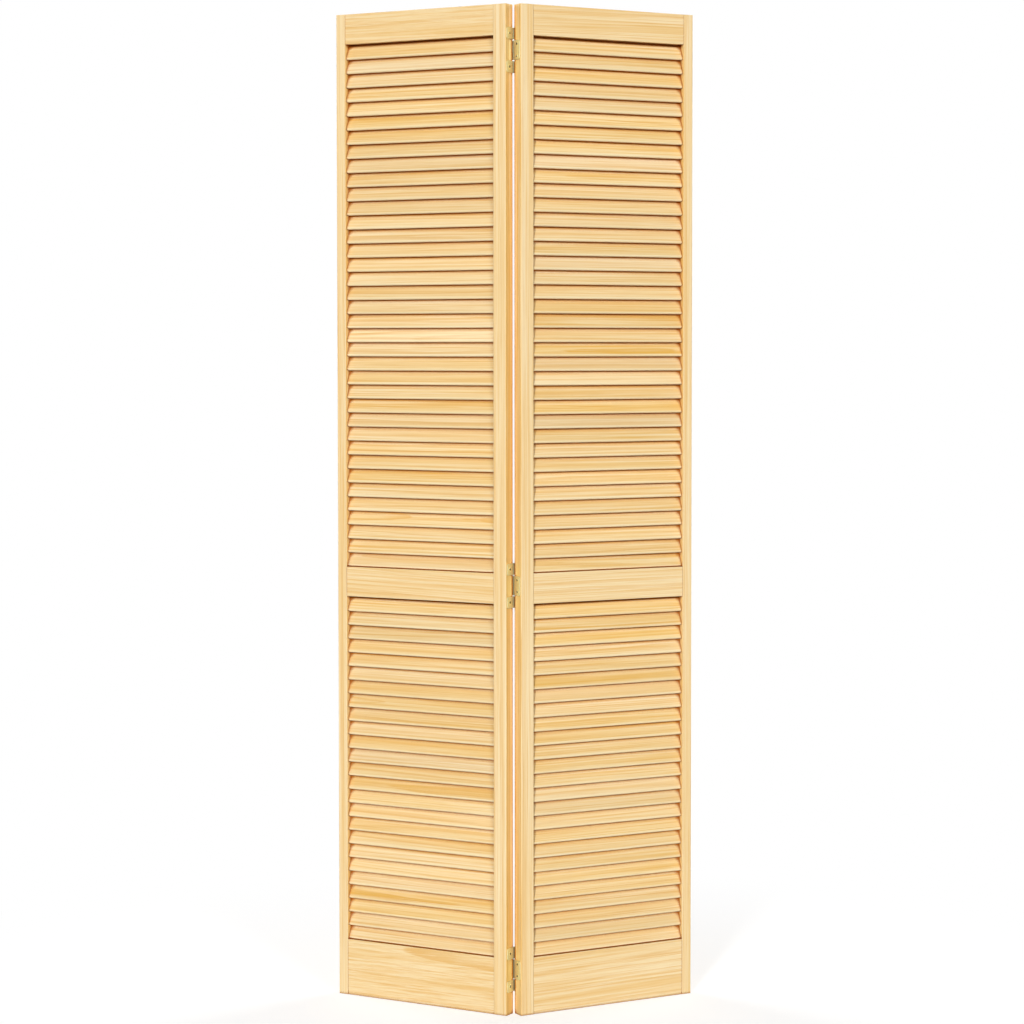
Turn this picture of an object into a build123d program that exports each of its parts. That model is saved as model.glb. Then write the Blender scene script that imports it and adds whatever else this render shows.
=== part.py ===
from build123d import *
import os

# Bi-fold closet door: two louvred pine leaves hinged together, standing part folded with the middle
# towards the viewer. Millimetres, +X to the viewer's right, +Y away from the viewer, +Z up.
# The origin is on the floor, at the middle of the folded door's footprint.

# Leaves
door_height = 2006.6
leaf_width = 400.0
leaf_thickness = 27.0
fold_angle = 29.4  # how far each leaf has turned out of the plane of the closed door

# Stiles
hinge_stile_width = 28.6
outer_stile_width = 22.0
room_arris = 2.0  # rounding of the hinge stiles' arris on the room side
closet_arris = 0.8  # the same on the closet side, next to the hinge barrels
outer_arris = 3.0  # rounding of both outer arrises of the outer stiles

# Rails
top_rail_height = 60.3
lock_rail_height = 60.3
bottom_rail_height = 114.3
lower_opening_height = 708.8
rail_set_back = 1.0  # of each rail face behind the faces of the stiles

# Stub tenons at the ends of the rails, which stop short of the pivot holes
tenon_thickness = 9.0
tenon_shoulder = 10.0
joint_clearance = 0.15

# Louvre slats, housed in blind grooves in the stiles
slat_width = 33.0
slat_thickness = 6.35
slat_angle = 24.0  # from the vertical
slat_spacing = 28.575  # nominal, the openings divide evenly into about this
slat_chamfer = 1.9
slat_end_gap = 0.3  # between the last slats of an opening and the rails
groove_depth = 7.5
groove_end_gap = 0.3

# Hinges, fixed to the edges that face each other
hinge_height = 88.9
hinge_inset = 89.6  # from the door's top and bottom to the middles of the end hinges
middle_hinge_height = 858.8  # from the floor to the middle of the middle hinge
hinge_gap = 1.8  # between the leaves' edges when the door is closed flat
plate_thickness = 1.4
plate_corner = 4.0
plate_edge_margin = 3.0  # bare wood between a plate and the room side of its edge
flap_height = 23.0
knuckle_joint = 2.4  # the bare pin between two knuckles
knuckle_radius = 2.0
pin_radius = 1.1
pin_clearance = 0.1
pin_head_radius = 1.9
pin_head_height = 0.8
barrel_offset = 1.6  # of the pin's axis behind the closet faces of the leaves
screw_spacing = 23.9  # between the two screws of a middle plate
screw_hole_radius = 2.4

# Holes for the pivots and the track guide in the ends of the outer stiles
pivot_bore_radius = 4.7625
pivot_bore_depth = 32.0
pivot_inset = 9.5  # of a hole's middle from the leaf's outer edge
pivot_wall = 1.2  # of wood between a hole and the mortise beside it

closet_face = -barrel_offset
room_face = closet_face - leaf_thickness
leaf_middle = closet_face - leaf_thickness / 2
hinge_edge = hinge_gap / 2
outer_edge = hinge_edge + leaf_width
opening_edges = (hinge_edge + hinge_stile_width, outer_edge - outer_stile_width)
opening_width = opening_edges[1] - opening_edges[0]
rail_thickness = leaf_thickness - 2 * rail_set_back
tenon_length = outer_stile_width - pivot_inset - pivot_bore_radius - pivot_wall - joint_clearance
plate_front = room_face + plate_edge_margin

lower_opening = (bottom_rail_height, bottom_rail_height + lower_opening_height)
upper_opening = (lower_opening[1] + lock_rail_height, door_height - top_rail_height)
rail_spans = {
    "bottom_rail": (0, lower_opening[0]),
    "lock_rail": (lower_opening[1], upper_opening[0]),
    "top_rail": (upper_opening[1], door_height),
}
hinge_heights = {
    "top_hinge": door_height - hinge_inset,
    "middle_hinge": middle_hinge_height,
    "bottom_hinge": hinge_inset,
}
side_names = {-1: "left", 1: "right"}

# The pin stands forward of the origin by half of the folded door's depth, less the part that is in front
# of the pin. The rounded arrises set both ends of that depth.
lean = Vector(1, 0, 0).rotate(Axis.Z, fold_angle)
front_reach = (
    (room_arris - leaf_thickness - barrel_offset) * lean.X + (hinge_edge + room_arris) * lean.Y - room_arris
)
back_reach = (
    -(barrel_offset + outer_arris) * lean.X + (outer_edge - outer_arris) * lean.Y + outer_arris
)
pin_foot = (0, -(front_reach + back_reach) / 2)


def leaf_plane(side, height=0.0):
    """The closed door's plan, turned about the hinge pins with one leaf (-1 is the left, 1 the right)."""
    return Plane((*pin_foot, height)).rotated((0, 0, side * fold_angle))


def cross_plane(side, distance):
    """An upright plane square to a leaf, at a distance along it from the pins. It faces right, and its x
    runs to the closet side and its y up."""
    plan = leaf_plane(side)
    foot = plan.from_local_coords((side * distance, 0, 0))
    return Plane(foot, x_dir=plan.y_dir, z_dir=plan.x_dir)


def edge_plane(side, lift=0.0):
    """A leaf's hinge edge as seen from the gap, or a plane lifted off it. Its y runs up."""
    plan = leaf_plane(side)
    foot = plan.from_local_coords((side * (hinge_edge - lift), 0, 0))
    return Plane(foot, x_dir=-side * plan.y_dir, z_dir=-side * plan.x_dir)


def finish(piece, name):
    """Names one finished piece and writes it."""
    piece.part.label = name
    export_step(piece.part, f"parts/{name}.step")


def slat_outline():
    """A slat's section along its width, with its nose on the left."""
    with BuildSketch() as outline:
        Rectangle(slat_width, slat_thickness)
        chamfer(outline.vertices(), slat_chamfer)
    return outline.sketch


def slat_places(opening):
    """Where the slats of one opening cross the section plane, each turned to its slope. The lowest slat's
    nose and the highest slat's back edge almost meet the rails."""
    width_way = Vector(1, 0, 0).rotate(Axis.Z, 90 - slat_angle)
    reach = slat_width / 2 * width_way.Y + (slat_thickness / 2 - slat_chamfer) * width_way.X
    lowest = opening[0] + slat_end_gap + reach
    highest = opening[1] - slat_end_gap - reach
    count = round((highest - lowest) / slat_spacing) + 1
    pitch = (highest - lowest) / (count - 1)
    return [Location((leaf_middle, lowest + pitch * n), 90 - slat_angle) for n in range(count)]


def make_slats(side, opening):
    """All the slats of one opening, each a solid of its own, with their ends in the grooves."""
    overlap = groove_depth - groove_end_gap
    near, far = opening_edges[0] - overlap, opening_edges[1] + overlap
    outline = slat_outline()
    with BuildPart() as slats:
        with BuildSketch(cross_plane(side, near if side > 0 else far)):
            with Locations(slat_places(opening)):
                add(outline)
        extrude(amount=far - near)
    return slats


def cut_grooves(side, distance, facing):
    """Blind grooves for the slats in a stile's inner edge."""
    with BuildSketch(cross_plane(side, distance)) as grooves:
        for opening in (lower_opening, upper_opening):
            with Locations(slat_places(opening)):
                Rectangle(slat_width + 2 * joint_clearance, slat_thickness + 2 * joint_clearance)
    extrude(grooves.sketch, amount=facing * groove_depth, mode=Mode.SUBTRACT)


def tenon_height(rail):
    """Where a rail's tenon starts and ends, between its two shoulders."""
    low, high = rail_spans[rail]
    return low + tenon_shoulder, high - tenon_shoulder


def cut_mortises(side, distance, facing):
    """Blind mortises for the three rails in a stile's inner edge."""
    with BuildSketch(cross_plane(side, distance)) as mortises:
        for rail in rail_spans:
            low, high = tenon_height(rail)
            with Locations((leaf_middle, (low + high) / 2)):
                Rectangle(tenon_thickness + 2 * joint_clearance, high - low + 2 * joint_clearance)
    extrude(mortises.sketch, amount=facing * (tenon_length + joint_clearance), mode=Mode.SUBTRACT)


def make_hinge_stile(side):
    """The stile beside the hinges."""
    centre = side * (hinge_edge + hinge_stile_width / 2)
    with BuildPart() as stile:
        with BuildSketch(leaf_plane(side)):
            with Locations((centre, leaf_middle)):
                Rectangle(hinge_stile_width, leaf_thickness)
        extrude(amount=door_height)
        fillet(arrises(stile, side, hinge_edge)[0], closet_arris)
        fillet(arrises(stile, side, hinge_edge)[1], room_arris)
        cut_mortises(side, opening_edges[0], -side)
        cut_grooves(side, opening_edges[0], -side)
    return stile


def arrises(stile, side, distance):
    """The two upright edges of a stile at one distance from the pins, the closet side's first."""
    plan = leaf_plane(side)
    uprights = stile.edges().filter_by(Axis.Z)
    corners = [plan.from_local_coords((side * distance, y, 0)) for y in (closet_face, room_face)]
    return [uprights.sort_by_distance(Vertex(*corner))[0] for corner in corners]


def make_outer_stile(side):
    """The stile at a leaf's outer edge, with a hole in each end for a pivot or a track guide."""
    centre = side * (outer_edge - outer_stile_width / 2)
    with BuildPart() as stile:
        with BuildSketch(leaf_plane(side)):
            with Locations((centre, leaf_middle)):
                Rectangle(outer_stile_width, leaf_thickness)
        extrude(amount=door_height)
        fillet(arrises(stile, side, outer_edge), outer_arris)
        cut_mortises(side, opening_edges[1], side)
        cut_grooves(side, opening_edges[1], side)
        for height, depth in ((0, pivot_bore_depth), (door_height, -pivot_bore_depth)):
            with BuildSketch(leaf_plane(side, height)):
                with Locations((side * (outer_edge - pivot_inset), leaf_middle)):
                    Circle(pivot_bore_radius)
            extrude(amount=depth, mode=Mode.SUBTRACT)
    return stile


def make_rail(side, rail):
    """A rail between the two stiles, with a stub tenon at each end."""
    low, high = rail_spans[rail]
    tenon_low, tenon_high = tenon_height(rail)
    middle = side * sum(opening_edges) / 2
    with BuildPart() as piece:
        with BuildSketch(leaf_plane(side, low)):
            with Locations((middle, leaf_middle)):
                Rectangle(opening_width, rail_thickness)
        extrude(amount=high - low)
        with BuildSketch(leaf_plane(side, tenon_low)):
            with Locations((middle, leaf_middle)):
                Rectangle(opening_width + 2 * tenon_length, tenon_thickness)
        extrude(amount=tenon_high - tenon_low)
    return piece


def screw_rows(side):
    """Heights of one leaf's screws above the middle of a hinge: the left leaf carries the two end flaps,
    with a screw each, and the right leaf the middle plate, with two."""
    if side < 0:
        return ((hinge_height - flap_height) / 2, (flap_height - hinge_height) / 2)
    return (screw_spacing / 2, -screw_spacing / 2)


def plate_spans(side):
    """Where the plates on one leaf start and end, above the middle of their hinge."""
    half = hinge_height / 2
    if side < 0:
        return ((half - flap_height, half), (-half, flap_height - half))
    reach = half - flap_height - knuckle_joint
    return ((-reach, reach),)


def make_plates(side, height):
    """One leaf's half of a hinge: flat plates screwed to the edge, each rolled round the pin."""
    with BuildPart(edge_plane(side, plate_thickness)) as plates:
        for low, high in plate_spans(side):
            with BuildSketch(edge_plane(side)) as outline:
                with Locations((-side * plate_front / 2, height + (low + high) / 2)):
                    Rectangle(-plate_front, high - low)
                fillet(outline.vertices().sort_by(Axis.X, reverse=side > 0)[:2], plate_corner)
            extrude(amount=plate_thickness)
            with BuildSketch(leaf_plane(side, height + low)):
                Circle(knuckle_radius)
            extrude(amount=high - low)
            with BuildSketch(leaf_plane(side, height + low)):
                Circle(pin_radius + pin_clearance)
            extrude(amount=high - low, mode=Mode.SUBTRACT)
        with Locations([(-side * leaf_middle, height + row) for row in screw_rows(side)]):
            Hole(screw_hole_radius, depth=plate_thickness)
    return plates


def make_pin(height):
    """A hinge's pin, with a flat head on the top knuckle."""
    with BuildPart() as pin:
        with BuildSketch(Plane((*pin_foot, height - hinge_height / 2))):
            Circle(pin_radius)
        extrude(amount=hinge_height)
        with BuildSketch(Plane((*pin_foot, height + hinge_height / 2))):
            Circle(pin_head_radius)
        extrude(amount=pin_head_height)
    return pin


os.makedirs("parts", exist_ok=True)
for side, side_name in side_names.items():
    finish(make_hinge_stile(side), f"{side_name}_hinge_stile")
    finish(make_outer_stile(side), f"{side_name}_outer_stile")
    for rail in rail_spans:
        finish(make_rail(side, rail), f"{side_name}_{rail}")
    finish(make_slats(side, upper_opening), f"{side_name}_upper_slats")
    finish(make_slats(side, lower_opening), f"{side_name}_lower_slats")
for hinge, height in hinge_heights.items():
    finish(make_plates(-1, height), f"{hinge}_end_flaps")
    finish(make_plates(1, height), f"{hinge}_middle_plate")
    finish(make_pin(height), f"{hinge}_pin")
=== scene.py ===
import math
import random

import bmesh
import bpy
from mathutils import Matrix, Vector


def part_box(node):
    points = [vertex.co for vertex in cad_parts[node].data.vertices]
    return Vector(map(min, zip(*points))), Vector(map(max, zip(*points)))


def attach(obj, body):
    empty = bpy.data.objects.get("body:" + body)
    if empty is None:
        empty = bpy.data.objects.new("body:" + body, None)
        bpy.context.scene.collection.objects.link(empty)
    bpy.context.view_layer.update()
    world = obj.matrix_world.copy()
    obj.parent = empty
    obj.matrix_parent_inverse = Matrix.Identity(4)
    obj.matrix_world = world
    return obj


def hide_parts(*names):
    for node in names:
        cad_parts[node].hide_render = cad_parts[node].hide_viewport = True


# Metres, in the frame of the solids: +X to the viewer's right, +Y away, +Z up, the floor at z = 0.
fold_angle = math.radians(29.4)  # of each leaf, out of the plane of the doorway
sides = {-1: "left", 1: "right"}

# Wood. A pith is how far the tree's middle lies from the board's, across its face and through it.
stile_ring = 0.0042  # width of a year's ring
stile_slope = 0.004  # most that the grain runs out of a stile, as a share of its length
stile_pith = (0.05, 0.06)
rail_ring = 0.007
rail_slope = 0.03
rail_pith_across = (0.05, 0.08)  # least and most, to either side
rail_pith_through = 0.07
slat_ring = 0.004
slat_pith_across = 0.05  # at most, to either side
slat_pith_through = (0.02, 0.09)  # least and most, to either side
slat_saturation = (1.07, 0.05)  # mean and spread over the louvres
slat_value = (0.93, 0.025)
arris_reach = 0.0016  # how far the painted highlight on a board's corners reaches
nose_reach = (0.001, 0.0055)  # from a louvre's nose, where its painted highlight starts and ends its fading
# Painted shade: within reach of other surfaces, found by ambient occlusion, the wood is painted darker and
# browner.
board_shade_reach = 0.011  # within which something near paints shade on a surface
slat_shade_reach = 0.0115
painted_shade_open = (0.76, 0.46)  # open shares of the surroundings, where the painted shade sets in and is full
painted_shade_most = 0.96

# Wood's colours as they show on screen, 0 to 255
early_wood = (249, 223, 174)
late_wood = (232, 184, 112)
resin_duct = (190, 134, 70)
end_grain = (204, 150, 84)
# Painted highlight, for the boards' corners and the louvres' noses
painted_highlight_tone = (255, 240, 200)
# Painted shade, for corners and the gaps under the louvres' noses
painted_shade_tone = (166, 92, 20)

# Louvres
slat_counts = {"upper": 37, "lower": 25}
slat_width = 0.033
slat_thickness = 0.00635
slat_angle = math.radians(24.0)  # from the vertical
slat_chamfer = 0.0019  # of the plain solids that the louvres replace
nose_segments = 10
slat_spans = 12  # lengths that a slat is divided into, so that it can bow
slat_bow = 0.00035
crease = math.radians(40)  # sharper edges than this stay sharp in shading

# Hinge screws, two in each leaf's half of a hinge
edge_middle = -0.0151  # the middle of a leaf's thickness, on the viewer's side of the pin's axis
plate_surface = 0.0005  # the plates' outer faces, past the pin's axis
screw_rows = {-1: (0.03295, -0.03295), 1: (0.01195, -0.01195)}  # heights from a hinge's middle
screw_radius = 0.0041
screw_rise = 0.00025  # of a head out of its plate
screw_rim = 0.00035  # bevel round a head
shank_radius = 0.0023
head_depth = 0.0016  # from a head's top to its foot
recess_reach = 0.0026  # of the cross's arms from its middle
recess_half_width = 0.0014  # of an arm
recess_depth = 0.0014
recess_taper = 0.55  # size of the recess's floor, as a share of its mouth
recess_lip = 0.1  # share of the recess's depth in which its painted shade sets in
lip_taper = 0.97
rim_steps = 3  # points of a head's rim for each corner of its recess
knuckle_reach = 0.0021  # from the pin's axis, within which the knuckles get painted shade
knuckle_fade = 0.0006

# Camera, with the photograph's viewpoint
camera_place = (0.0744, -5.5575, 1.3344)
camera_yaw = math.radians(-0.025)  # positive turns towards +X
camera_pitch = math.radians(-2.549)
camera_lens = 97.0
camera_shift = (-0.037, -0.042)

# Stage
ambient_light = 0.14
floor_radius = 9.0
floor_drop = 0.0004  # below the door's feet
shadow_reach = (0.35, 1.5)  # from the middle, where the floor's shadow starts and ends its fading
lamps = {  # azimuth, elevation and spread in degrees, and strength
    "key": (-14, 16, 5, 2.2),
    "fill": (24, 17, 8, 1.04),
    "rear_left": (-130, 14, 24, 2.1),
    "rear_right": (130, 14, 24, 2.1),
}

random.seed(11)


def srgb(red, green, blue):
    """A colour given as it shows on screen, 0 to 255, as the linear colour that nodes take."""
    shares = (red / 255, green / 255, blue / 255)
    linear = [s / 12.92 if s <= 0.04045 else ((s + 0.055) / 1.055) ** 2.4 for s in shares]
    return (*linear, 1.0)


def leaf_matrix(side):
    """From a leaf's own axes (x along it to the right, 0 at the pins, y to the closet side, z up) to the
    frame."""
    low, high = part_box("top_hinge_pin")
    foot = Vector(((low.x + high.x) / 2, (low.y + high.y) / 2, 0))
    return Matrix.Translation(foot) @ Matrix.Rotation(side * fold_angle, 4, "Z")


def leaf_box(side, name):
    """The lowest and highest corners of one of a leaf's nodes, in the leaf's own axes."""
    to_leaf = leaf_matrix(side).inverted()
    points = [to_leaf @ vertex.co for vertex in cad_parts[name].data.vertices]
    low = Vector(min(point[axis] for point in points) for axis in range(3))
    high = Vector(max(point[axis] for point in points) for axis in range(3))
    return low, high


def node(tree, kind, inputs=None, **settings):
    """Adds a node. An input, by name or number, takes a value or another node's output."""
    made = tree.nodes.new(kind)
    for key, value in settings.items():
        setattr(made, key, value)
    for key, value in (inputs or {}).items():
        if isinstance(value, bpy.types.NodeSocket):
            tree.links.new(value, made.inputs[key])
        else:
            made.inputs[key].default_value = value
    return made


def calc(tree, operation, *values):
    """A Math node's result."""
    return node(tree, "ShaderNodeMath", dict(enumerate(values)), operation=operation).outputs[0]


def vector_calc(tree, operation, *values):
    """A Vector Math node's result."""
    made = node(tree, "ShaderNodeVectorMath", dict(enumerate(values)), operation=operation)
    return made.outputs["Value" if operation in ("LENGTH", "DOT_PRODUCT") else "Vector"]


def ranged(tree, value, low, high, to_low=0.0, to_high=1.0):
    """Brings a value from one range smoothly into another."""
    inputs = {"Value": value, "From Min": low, "From Max": high, "To Min": to_low, "To Max": to_high}
    return node(tree, "ShaderNodeMapRange", inputs, interpolation_type="SMOOTHSTEP").outputs["Result"]


def noise(tree, place, stretch, seed, detail=2.0, roughness=0.5):
    """Noise between 0 and 1, stretched along the grain. stretch is its frequency per metre on each axis."""
    scaled = vector_calc(tree, "MULTIPLY", place, stretch)
    inputs = {"Vector": scaled, "W": seed, "Scale": 1.0, "Detail": detail, "Roughness": roughness}
    return node(tree, "ShaderNodeTexNoise", inputs, noise_dimensions="4D").outputs["Fac"]


def noise_line(tree, place, **inputs):
    """Noise between 0 and 1 along a single value."""
    return node(tree, "ShaderNodeTexNoise", {"W": place, **inputs}, noise_dimensions="1D").outputs["Fac"]


def blended(tree, factor, first, second):
    """One colour changed towards another."""
    return node(tree, "ShaderNodeMix", {0: factor, 6: first, 7: second}, data_type="RGBA").outputs[2]


def show(tree, shader):
    """Makes a shader the material's surface."""
    node(tree, "ShaderNodeOutputMaterial", {"Surface": shader.outputs[0]})


def seen_directly(tree):
    """1 for what the camera sees, also in gloss and through glass, and 0 for light that falls on things."""
    path = node(tree, "ShaderNodeLightPath").outputs
    seen = calc(tree, "MAXIMUM", path["Is Camera Ray"], path["Is Glossy Ray"])
    return calc(tree, "MAXIMUM", seen, path["Is Transmission Ray"])


def make_pine_group():
    """Solid pine: growth rings round a far-off pith, fibres, streaks and resin ducts. Place is measured
    from the pith in metres, with x along the grain."""
    tree = bpy.data.node_groups.new("pine", "ShaderNodeTree")
    for name, kind in (("Place", "Vector"), ("Seed", "Float"), ("Ring", "Float"), ("End", "Float")):
        tree.interface.new_socket(name, in_out="INPUT", socket_type=f"NodeSocket{kind}")
    for name, kind in (("Color", "Color"), ("Roughness", "Float"), ("Height", "Float")):
        tree.interface.new_socket(name, in_out="OUTPUT", socket_type=f"NodeSocket{kind}")
    given = tree.nodes.new("NodeGroupInput").outputs
    place, seed = given["Place"], given["Seed"]

    # The rings wander slowly along the grain, and a little more at a hand's length.
    wander = noise(tree, place, (1.1, 9.0, 9.0), seed, detail=1.0)
    waver = noise(tree, place, (7.0, 60.0, 60.0), seed, detail=2.0)
    across = vector_calc(tree, "LENGTH", vector_calc(tree, "MULTIPLY", place, (0.0, 1.0, 1.0)))
    across = calc(tree, "MULTIPLY_ADD", calc(tree, "SUBTRACT", wander, 0.5), 0.022, across)
    across = calc(tree, "MULTIPLY_ADD", calc(tree, "SUBTRACT", waver, 0.5), 0.0016, across)
    years = calc(tree, "DIVIDE", across, given["Ring"])
    good_years = noise_line(tree, years, Scale=0.45, Detail=2.0)
    years = calc(tree, "MULTIPLY_ADD", good_years, 3.0, years)
    season = calc(tree, "FRACT", years)
    rise = ranged(tree, season, 0.5, 0.94)
    fall = ranged(tree, season, 0.94, 1.0, 1.0, 0.0)
    late = calc(tree, "MULTIPLY", rise, fall)
    strength = noise_line(tree, calc(tree, "FLOOR", years), Scale=3.7)
    late = calc(tree, "MULTIPLY", late, ranged(tree, strength, 0.35, 0.7, 0.1, 1.0))

    fibre = noise(tree, place, (18.0, 1800.0, 1800.0), seed, detail=3.0, roughness=0.6)
    streak = noise(tree, place, (1.8, 230.0, 230.0), seed, detail=3.0, roughness=0.6)
    line = noise(tree, place, (5.0, 520.0, 520.0), seed, detail=2.0, roughness=0.6)
    band = noise(tree, place, (0.8, 55.0, 55.0), seed, detail=1.0)
    cloud = noise(tree, place, (2.4, 20.0, 20.0), seed, detail=2.0)
    duct = noise(tree, place, (210.0, 3200.0, 3200.0), seed, detail=0.0)

    color = blended(tree, late, srgb(*early_wood), srgb(*late_wood))
    # Each kind of mark: the noise at which it starts to show and is full, its greatest share and its tone
    marks = (
        (streak, 0.46, 0.72, 0.75, (234, 186, 112)),
        (streak, 0.5, 0.28, 0.7, (252, 233, 194)),
        (line, 0.52, 0.72, 0.5, (228, 178, 104)),
        (line, 0.47, 0.3, 0.5, (254, 238, 202)),
        (band, 0.48, 0.7, 0.5, (238, 196, 126)),
        (cloud, 0.35, 0.7, 0.3, (240, 202, 136)),
        (fibre, 0.45, 0.75, 0.3, (220, 170, 102)),
    )
    for mark, start, full, share, tone in marks:
        color = blended(tree, ranged(tree, mark, start, full, 0.0, share), color, srgb(*tone))
    ducts = calc(tree, "MULTIPLY", ranged(tree, duct, 0.76, 0.81), ranged(tree, late, 0.05, 0.5, 0.15, 0.7))
    color = blended(tree, ducts, color, srgb(*resin_duct))
    ends = ranged(tree, fibre, 0.3, 0.7, 0.4, 0.65)
    color = blended(tree, calc(tree, "MULTIPLY", given["End"], ends), color, srgb(*end_grain))

    gloss = calc(tree, "MULTIPLY_ADD", late, -0.08, 0.55)
    gloss = calc(tree, "MULTIPLY_ADD", fibre, 0.12, gloss)
    height = calc(tree, "MULTIPLY_ADD", late, 0.35, calc(tree, "MULTIPLY", fibre, 0.6))
    height = calc(tree, "MULTIPLY_ADD", ducts, -0.8, height)
    made = tree.nodes.new("NodeGroupOutput").inputs
    tree.links.new(color, made["Color"])
    tree.links.new(gloss, made["Roughness"])
    tree.links.new(height, made["Height"])
    return tree


def finish_wood(tree, place, seed, end, tint, ring, rounded, pale, reach):
    """The shader of one wooden surface, from its place in the board. end is the share of end grain and pale
    that of the painted highlight. rounded is the normal with eased corners. Within reach of something near,
    shade is painted into the colour as a deep brown, and the surface is made rougher."""
    given = {"Place": place, "Seed": seed, "Ring": ring, "End": end}
    group = node(tree, "ShaderNodeGroup", given, node_tree=pine_group)
    color = node(tree, "ShaderNodeHueSaturation", {**tint, "Color": group.outputs["Color"]}).outputs[0]
    # Painted highlight on the corners and noses.
    color = blended(tree, pale, color, srgb(*painted_highlight_tone))
    # Painted shade: where ambient occlusion finds other surfaces near, the colour goes towards a deep brown
    # and the surface grows rougher.
    open_share = node(tree, "ShaderNodeAmbientOcclusion", {"Distance": reach}, samples=8).outputs["AO"]
    dark = ranged(tree, open_share, *painted_shade_open, 0.0, painted_shade_most)
    color = blended(tree, dark, color, srgb(*painted_shade_tone))
    dull = calc(tree, "MULTIPLY_ADD", dark, 0.35, group.outputs["Roughness"])
    bump = {"Height": group.outputs["Height"], "Strength": 0.35, "Distance": 0.00025, "Normal": rounded}
    normal = node(tree, "ShaderNodeBump", bump).outputs[0]
    surface = {"Base Color": color, "Roughness": dull, "Specular IOR Level": 0.08, "Normal": normal}
    show(tree, node(tree, "ShaderNodeBsdfPrincipled", surface))


def new_material(name):
    """An empty node material and its tree."""
    material = bpy.data.materials.new(name)
    material.use_nodes = True
    material.node_tree.nodes.clear()
    return material, material.node_tree


def facing(tree, side, normal, axis):
    """1 where a surface faces along one of the leaf's axes, either way, and 0 where it is turned from it."""
    turned = leaf_matrix(side).to_3x3() @ Vector(axis)
    cosine = calc(tree, "ABSOLUTE", vector_calc(tree, "DOT_PRODUCT", normal, tuple(turned)))
    return ranged(tree, cosine, 0.6, 0.9)


def board_material(side, name, grain, pith, slope, ring):
    """Pine for one solid board. grain is the leaf's axis that the grain follows, pith the distance of the
    tree's middle from the board's middle across the grain, and slope how much that changes along it."""
    material, tree = new_material(f"{name}_pine")
    low, high = leaf_box(side, name)
    middle = (low + high) / 2
    texture = node(tree, "ShaderNodeTexCoord")
    normal = texture.outputs["Normal"]
    foot = leaf_matrix(side).translation
    turned = {"Vector": texture.outputs["Object"], "Center": foot, "Angle": -side * fold_angle}
    local = node(tree, "ShaderNodeVectorRotate", turned, rotation_type="Z_AXIS").outputs[0]
    local = vector_calc(tree, "SUBTRACT", local, tuple(foot + middle))
    parts = node(tree, "ShaderNodeSeparateXYZ", {0: local}).outputs
    across, along_grain = ((1, 0, 0), parts[2]) if grain[2] else ((0, 0, 1), parts[0])
    sideways = parts[0] if grain[2] else parts[2]
    end = facing(tree, side, normal, grain)
    edge = facing(tree, side, normal, across)
    moved = {
        "X": calc(tree, "ADD", along_grain, random.uniform(2, 9)),
        "Y": calc(tree, "ADD", calc(tree, "MULTIPLY_ADD", along_grain, slope[0], sideways), pith[0]),
        "Z": calc(tree, "ADD", calc(tree, "MULTIPLY_ADD", along_grain, slope[1], parts[1]), pith[1]),
    }
    place = node(tree, "ShaderNodeCombineXYZ", moved).outputs[0]
    # A board's edges are a little deeper in colour than its faces: partly their own edge grain, partly
    # painted shade and the warm light bounced between facing edges.
    tint = {
        "Saturation": calc(tree, "MULTIPLY_ADD", edge, 0.16, 1.02),
        "Value": calc(tree, "MULTIPLY_ADD", edge, -0.02, 1.0),
    }
    rounded = node(tree, "ShaderNodeBevel", {"Radius": arris_reach}, samples=8).outputs[0]
    # The eased normal leans away from the surface's own only near a corner.
    bend = vector_calc(tree, "DOT_PRODUCT", rounded, normal)
    # Painted highlight on the corners, where the eased normal leans away from the surface's own.
    pale = ranged(tree, bend, 0.995, 0.85, 0.0, 0.5)
    finish_wood(tree, place, random.uniform(0, 50), end, tint, ring, rounded, pale, board_shade_reach)
    return material


def slat_material():
    """Pine for the louvres. Each slat's mesh carries its own place in a board, its seed and its tint."""
    material, tree = new_material("louvre_pine")
    place = node(tree, "ShaderNodeAttribute", attribute_name="grain").outputs["Vector"]
    board = node(tree, "ShaderNodeAttribute", attribute_name="board").outputs["Vector"]
    seed, saturation, value = node(tree, "ShaderNodeSeparateXYZ", {0: board}).outputs
    tint = {"Saturation": saturation, "Value": value}
    from_nose = node(tree, "ShaderNodeAttribute", attribute_name="from_nose").outputs["Fac"]
    # Painted highlight along each louvre's nose.
    pale = ranged(tree, from_nose, *nose_reach, 0.6, 0.0)
    normal = node(tree, "ShaderNodeNewGeometry").outputs["Normal"]
    finish_wood(tree, place, seed, 0.0, tint, slat_ring, normal, pale, slat_shade_reach)
    return material


def plated_metal(name, base, dark, roughness, shade=None):
    """Satin plated metal with fine rolling lines and a little mottling. shade(tree), where there is one,
    gives the share of painted shade, which has the dark colour."""
    material, tree = new_material(name)
    place = node(tree, "ShaderNodeTexCoord").outputs["Object"]
    lines = noise(tree, place, (1800.0, 1800.0, 90.0), 3.0)
    mottle = noise(tree, place, (420.0, 420.0, 420.0), 5.0, detail=4.0, roughness=0.6)
    specks = noise(tree, place, (1300.0, 1300.0, 1300.0), 9.0, detail=1.0)
    painted_shade_share = shade(tree) if shade else 0.0
    deeper = (*(0.75 * channel for channel in base[:3]), 1)
    color = blended(tree, ranged(tree, mottle, 0.35, 0.7, 0.0, 0.45), base, deeper)
    color = blended(tree, ranged(tree, specks, 0.66, 0.76, 0.0, 0.5), color, dark)
    color = blended(tree, painted_shade_share, color, dark)
    worn = calc(tree, "MULTIPLY_ADD", mottle, 0.16, roughness)
    normal = node(tree, "ShaderNodeBump", {"Height": lines, "Strength": 0.2, "Distance": 0.0001}).outputs[0]
    surface = {"Base Color": color, "Metallic": 0.88, "Roughness": worn, "Normal": normal}
    show(tree, node(tree, "ShaderNodeBsdfPrincipled", surface))
    return material


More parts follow.
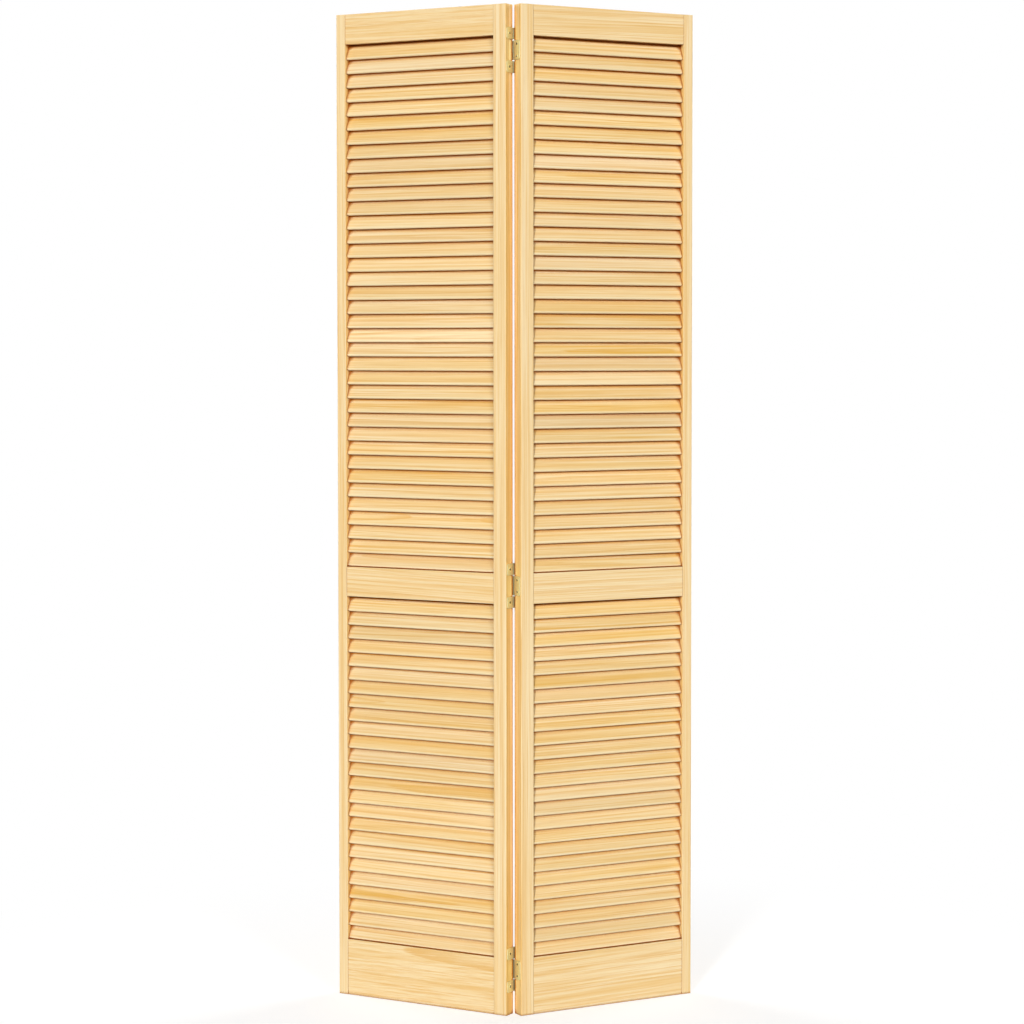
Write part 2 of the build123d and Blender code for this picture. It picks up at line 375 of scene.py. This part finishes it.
def knuckle_painted_shade(tree):
    """Painted shade on the knuckles, round the pin's axis."""
    foot = leaf_matrix(1).translation
    place = node(tree, "ShaderNodeTexCoord").outputs["Object"]
    flat = vector_calc(tree, "MULTIPLY", vector_calc(tree, "SUBTRACT", place, tuple(foot)), (1, 1, 0))
    away = vector_calc(tree, "LENGTH", flat)
    return ranged(tree, away, knuckle_reach, knuckle_reach + knuckle_fade, 0.85, 0.0)


def recess_painted_shade(tree):
    """Painted shade in a screw's recess, from the share of its depth that the mesh carries."""
    depth = node(tree, "ShaderNodeAttribute", attribute_name="depth").outputs["Fac"]
    return ranged(tree, depth, 0.0, 0.8)


def mesh_object(name, mesh, material, matrix=None):
    """A new object for a bmesh, in place, with smooth faces up to its creases."""
    data = bpy.data.meshes.new(name)
    mesh.to_mesh(data)
    mesh.free()
    if matrix:
        data.transform(matrix)
    made = bpy.data.objects.new(name, data)
    bpy.context.scene.collection.objects.link(made)
    data.materials.append(material)
    data.shade_smooth()
    data.set_sharp_from_angle(angle=crease)
    return made


def join_loops(mesh, first, second):
    """A strip of faces between two loops of as many points."""
    for corner in range(len(first)):
        after = (corner + 1) % len(first)
        mesh.faces.new((first[corner], first[after], second[after], second[corner]))


def slat_outline():
    """A slat's section: points across it (nose first, below) and through it, with both edges round."""
    radius = slat_thickness / 2
    straight = slat_width / 2 - radius
    points = []
    for end in (-1, 1):
        for step in range(nose_segments + 1):
            turn = math.pi * (step / nose_segments - 0.5)
            points.append((end * (straight + radius * math.cos(turn)), end * radius * math.sin(turn)))
    return points


def make_slats(side, opening):
    """All the louvres of one opening in one mesh, each a closed body with its own board of pine."""
    name = f"{sides[side]}_{opening}_slats"
    low, high = leaf_box(side, name)
    count = slat_counts[opening]
    across = Vector((0, math.sin(slat_angle), math.cos(slat_angle)))
    through = Vector((0, -math.cos(slat_angle), math.sin(slat_angle)))
    depth = (low.y + high.y) / 2
    reach = slat_width / 2 * across.z + (slat_thickness / 2 - slat_chamfer) * through.z
    lowest, highest = low.z + reach, high.z - reach
    pitch = (highest - lowest) / (count - 1)
    outline = slat_outline()
    mesh = bmesh.new()
    grain = mesh.verts.layers.float_vector.new("grain")
    board = mesh.verts.layers.float_vector.new("board")
    from_nose = mesh.verts.layers.float.new("from_nose")
    for number in range(count):
        centre = Vector((0, depth, lowest + pitch * number))
        # Each louvre has its own bow, and was cut from its own place in a board.
        bow = random.uniform(-slat_bow, slat_bow)
        start = random.uniform(0, 9)
        pith_across = random.uniform(-slat_pith_across, slat_pith_across)
        pith_through = random.choice((-1, 1)) * random.uniform(*slat_pith_through)
        seed = random.uniform(0, 50)
        tint = (random.gauss(*slat_saturation), random.gauss(*slat_value))
        rings = []
        for span in range(slat_spans + 1):
            share = span / slat_spans
            x = low.x + (high.x - low.x) * share
            lift = through * bow * math.sin(math.pi * share)
            ring = []
            for along, out in outline:
                vertex = mesh.verts.new(centre + Vector((x, 0, 0)) + across * along + through * out + lift)
                vertex[grain] = (start + x, along + pith_across, out + pith_through)
                vertex[board] = (seed, *tint)
                vertex[from_nose] = slat_width / 2 + along
                ring.append(vertex)
            rings.append(ring)
        for first, second in zip(rings, rings[1:]):
            join_loops(mesh, first, second)
        mesh.faces.new(reversed(rings[0]))
        mesh.faces.new(rings[-1])
    bmesh.ops.recalc_face_normals(mesh, faces=mesh.faces)
    slats = mesh_object(f"{sides[side]}_{opening}_louvres", mesh, louvre_pine, leaf_matrix(side))
    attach(slats, "root")
    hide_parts(name)


def add_loop(mesh, points, height, matrix, depth=0.0):
    """New vertices at one height, with their share of the recess's depth."""
    layer = mesh.verts.layers.float["depth"]
    loop = []
    for x, y in points:
        vertex = mesh.verts.new(matrix @ Vector((x, y, height)))
        vertex[layer] = depth
        loop.append(vertex)
    return loop


def recess_points(scale):
    """The outline of a cross recess, anticlockwise from the right arm."""
    reach, half = recess_reach * scale, recess_half_width * scale
    arm = [(reach, -half), (reach, half), (half, half)]
    points = []
    for cos, sin in ((1, 0), (0, 1), (-1, 0), (0, -1)):
        points += [(x * cos - y * sin, x * sin + y * cos) for x, y in arm]
    return points


def head_points(radius):
    """A circle with rim_steps points for each corner of the recess."""
    corners = [math.atan2(y, x) for x, y in recess_points(1.0)]
    points = []
    for turn, after in zip(corners, corners[1:] + corners[:1]):
        step = (after - turn) % (2 * math.pi) / rim_steps
        for count in range(rim_steps):
            points.append((radius * math.cos(turn + step * count), radius * math.sin(turn + step * count)))
    return points


def add_screw(mesh, matrix):
    """A flat-head screw with a cross recess, z out of the plate."""
    foot = add_loop(mesh, head_points(shank_radius), screw_rise - head_depth, matrix)
    side = add_loop(mesh, head_points(screw_radius), screw_rise - screw_rim, matrix)
    rim = add_loop(mesh, head_points(screw_radius - screw_rim), screw_rise, matrix)
    mouth = add_loop(mesh, recess_points(1.0), screw_rise, matrix)
    wall = add_loop(mesh, recess_points(lip_taper), screw_rise - recess_lip * recess_depth, matrix, 1.0)
    floor = add_loop(mesh, recess_points(recess_taper), screw_rise - recess_depth, matrix, 1.0)
    join_loops(mesh, foot, side)
    join_loops(mesh, side, rim)
    join_loops(mesh, mouth, wall)
    join_loops(mesh, wall, floor)
    mesh.faces.new(floor)
    mesh.faces.new(foot)
    for corner in range(len(mouth)):
        after = (corner + 1) % len(mouth)
        arc = [rim[(corner * rim_steps + step) % len(rim)] for step in range(rim_steps + 1)]
        mesh.faces.new([mouth[corner], *arc, mouth[after]])


def make_screws(hinge):
    """A hinge's four screws, their recesses turned as they came."""
    low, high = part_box(f"{hinge}_middle_plate")
    height = (low.z + high.z) / 2
    mesh = bmesh.new()
    mesh.verts.layers.float.new("depth")
    for side in sides:
        for row in screw_rows[side]:
            outward = Matrix.Rotation(-side * math.pi / 2, 4, "Y")
            turned = Matrix.Rotation(random.uniform(0, math.pi / 2), 4, "Z")
            place = Matrix.Translation((-side * plate_surface, edge_middle, height + row))
            add_screw(mesh, leaf_matrix(side) @ place @ outward @ turned)
    bmesh.ops.recalc_face_normals(mesh, faces=mesh.faces)
    screws = mesh_object(f"{hinge}_screws", mesh, screw_brass)
    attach(screws, "root")


def dress(name, material):
    """Gives a node of the frame its material."""
    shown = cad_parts[name]
    shown.data.materials.clear()
    shown.data.materials.append(material)


def make_camera():
    """The photograph's viewpoint."""
    data = bpy.data.cameras.new("camera")
    data.sensor_width = 36
    data.lens = camera_lens
    data.shift_x, data.shift_y = camera_shift
    camera = bpy.data.objects.new("camera", data)
    camera.location = camera_place
    camera.rotation_euler = (math.pi / 2 + camera_pitch, 0, -camera_yaw)
    bpy.context.scene.collection.objects.link(camera)
    bpy.context.scene.camera = camera


def add_lamp(name, azimuth, elevation, spread, strength):
    """A wide far-off lamp, as even over the door's whole height as a bank of soft boxes. Azimuth 0 is on
    the viewer's side and 90 on the right."""
    data = bpy.data.lights.new(name, "SUN")
    data.angle = math.radians(spread)
    data.energy = strength
    lamp = bpy.data.objects.new(name, data)
    turn, rise = math.radians(azimuth), math.radians(elevation)
    source = Vector((math.sin(turn) * math.cos(rise), -math.cos(turn) * math.cos(rise), math.sin(rise)))
    lamp.rotation_euler = source.to_track_quat("Z", "Y").to_euler()
    bpy.context.scene.collection.objects.link(lamp)


def light_world():
    """Soft light from all round. The camera sees plain white, also in metal."""
    world = bpy.data.worlds.new("studio")
    bpy.context.scene.world = world
    world.use_nodes = True
    tree = world.node_tree
    tree.nodes.clear()
    soft = node(tree, "ShaderNodeBackground", {"Color": (1, 1, 1, 1), "Strength": ambient_light})
    white = node(tree, "ShaderNodeBackground", {"Color": (1, 1, 1, 1), "Strength": 1.0})
    mixed = {0: seen_directly(tree), 1: soft.outputs[0], 2: white.outputs[0]}
    shader = node(tree, "ShaderNodeMixShader", mixed)
    node(tree, "ShaderNodeOutputWorld", {"Surface": shader.outputs[0]})


def floor_material():
    """Plain white that keeps the door's shadow and fades into the white backdrop away from it."""
    material, tree = new_material("floor_white")
    place = node(tree, "ShaderNodeTexCoord").outputs["Object"]
    away = ranged(tree, vector_calc(tree, "LENGTH", place), *shadow_reach)
    # Light that falls on the floor comes back to the door as from grey card.
    dull = node(tree, "ShaderNodeBsdfDiffuse", {"Color": (0.35, 0.35, 0.35, 1)}).outputs[0]
    pale = node(tree, "ShaderNodeBsdfDiffuse", {"Color": (0.55, 0.55, 0.55, 1)}).outputs[0]
    glow = node(tree, "ShaderNodeEmission", {"Color": (1, 1, 1, 1), "Strength": 0.6}).outputs[0]
    white = node(tree, "ShaderNodeEmission", {"Color": (1, 1, 1, 1), "Strength": 1.0}).outputs[0]
    near = node(tree, "ShaderNodeAddShader", {0: pale, 1: glow}).outputs[0]
    lit = node(tree, "ShaderNodeMixShader", {0: away, 1: near, 2: white}).outputs[0]
    show(tree, node(tree, "ShaderNodeMixShader", {0: seen_directly(tree), 1: dull, 2: lit}))
    return material


def make_floor():
    """A round floor, a little below the door's feet."""
    mesh = bmesh.new()
    bmesh.ops.create_circle(mesh, cap_ends=True, segments=96, radius=floor_radius)
    floor = mesh_object("floor", mesh, floor_material(), Matrix.Translation((0, 0, -floor_drop)))


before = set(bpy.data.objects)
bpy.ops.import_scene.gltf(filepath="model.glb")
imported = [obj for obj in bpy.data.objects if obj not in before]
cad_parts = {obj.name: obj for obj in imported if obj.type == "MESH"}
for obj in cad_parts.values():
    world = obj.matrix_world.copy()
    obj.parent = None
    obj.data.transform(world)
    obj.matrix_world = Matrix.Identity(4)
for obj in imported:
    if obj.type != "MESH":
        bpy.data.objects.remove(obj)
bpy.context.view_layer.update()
bpy.context.scene.view_settings.view_transform = "Standard"

pine_group = make_pine_group()
louvre_pine = slat_material()
# Each metal's dark colour is for its specks, and for the painted shade on the knuckles and in the screws'
# recesses.
plate_brass = plated_metal("plate_brass", srgb(240, 241, 198), srgb(70, 64, 28), 0.42, knuckle_painted_shade)
screw_brass = plated_metal("screw_brass", srgb(255, 250, 190), srgb(20, 10, 2), 0.34, recess_painted_shade)
pin_steel = plated_metal("pin_steel", srgb(206, 212, 208), srgb(120, 118, 100), 0.25)

for side, side_name in sides.items():
    for stile in ("hinge_stile", "outer_stile"):
        name = f"{side_name}_{stile}"
        slope = [random.uniform(-stile_slope, stile_slope) for _ in range(2)]
        dress(name, board_material(side, name, (0, 0, 1), stile_pith, slope, stile_ring))
    for rail in ("top_rail", "lock_rail", "bottom_rail"):
        name = f"{side_name}_{rail}"
        slope = [random.uniform(-rail_slope, rail_slope) for _ in range(2)]
        pith = (random.choice((-1, 1)) * random.uniform(*rail_pith_across), rail_pith_through)
        dress(name, board_material(side, name, (1, 0, 0), pith, slope, rail_ring))
    for opening in slat_counts:
        make_slats(side, opening)
for hinge in ("top_hinge", "middle_hinge", "bottom_hinge"):
    dress(f"{hinge}_end_flaps", plate_brass)
    dress(f"{hinge}_middle_plate", plate_brass)
    dress(f"{hinge}_pin", pin_steel)
    make_screws(hinge)

make_floor()
make_camera()
light_world()
for name, lamp in lamps.items():
    add_lamp(name, *lamp)
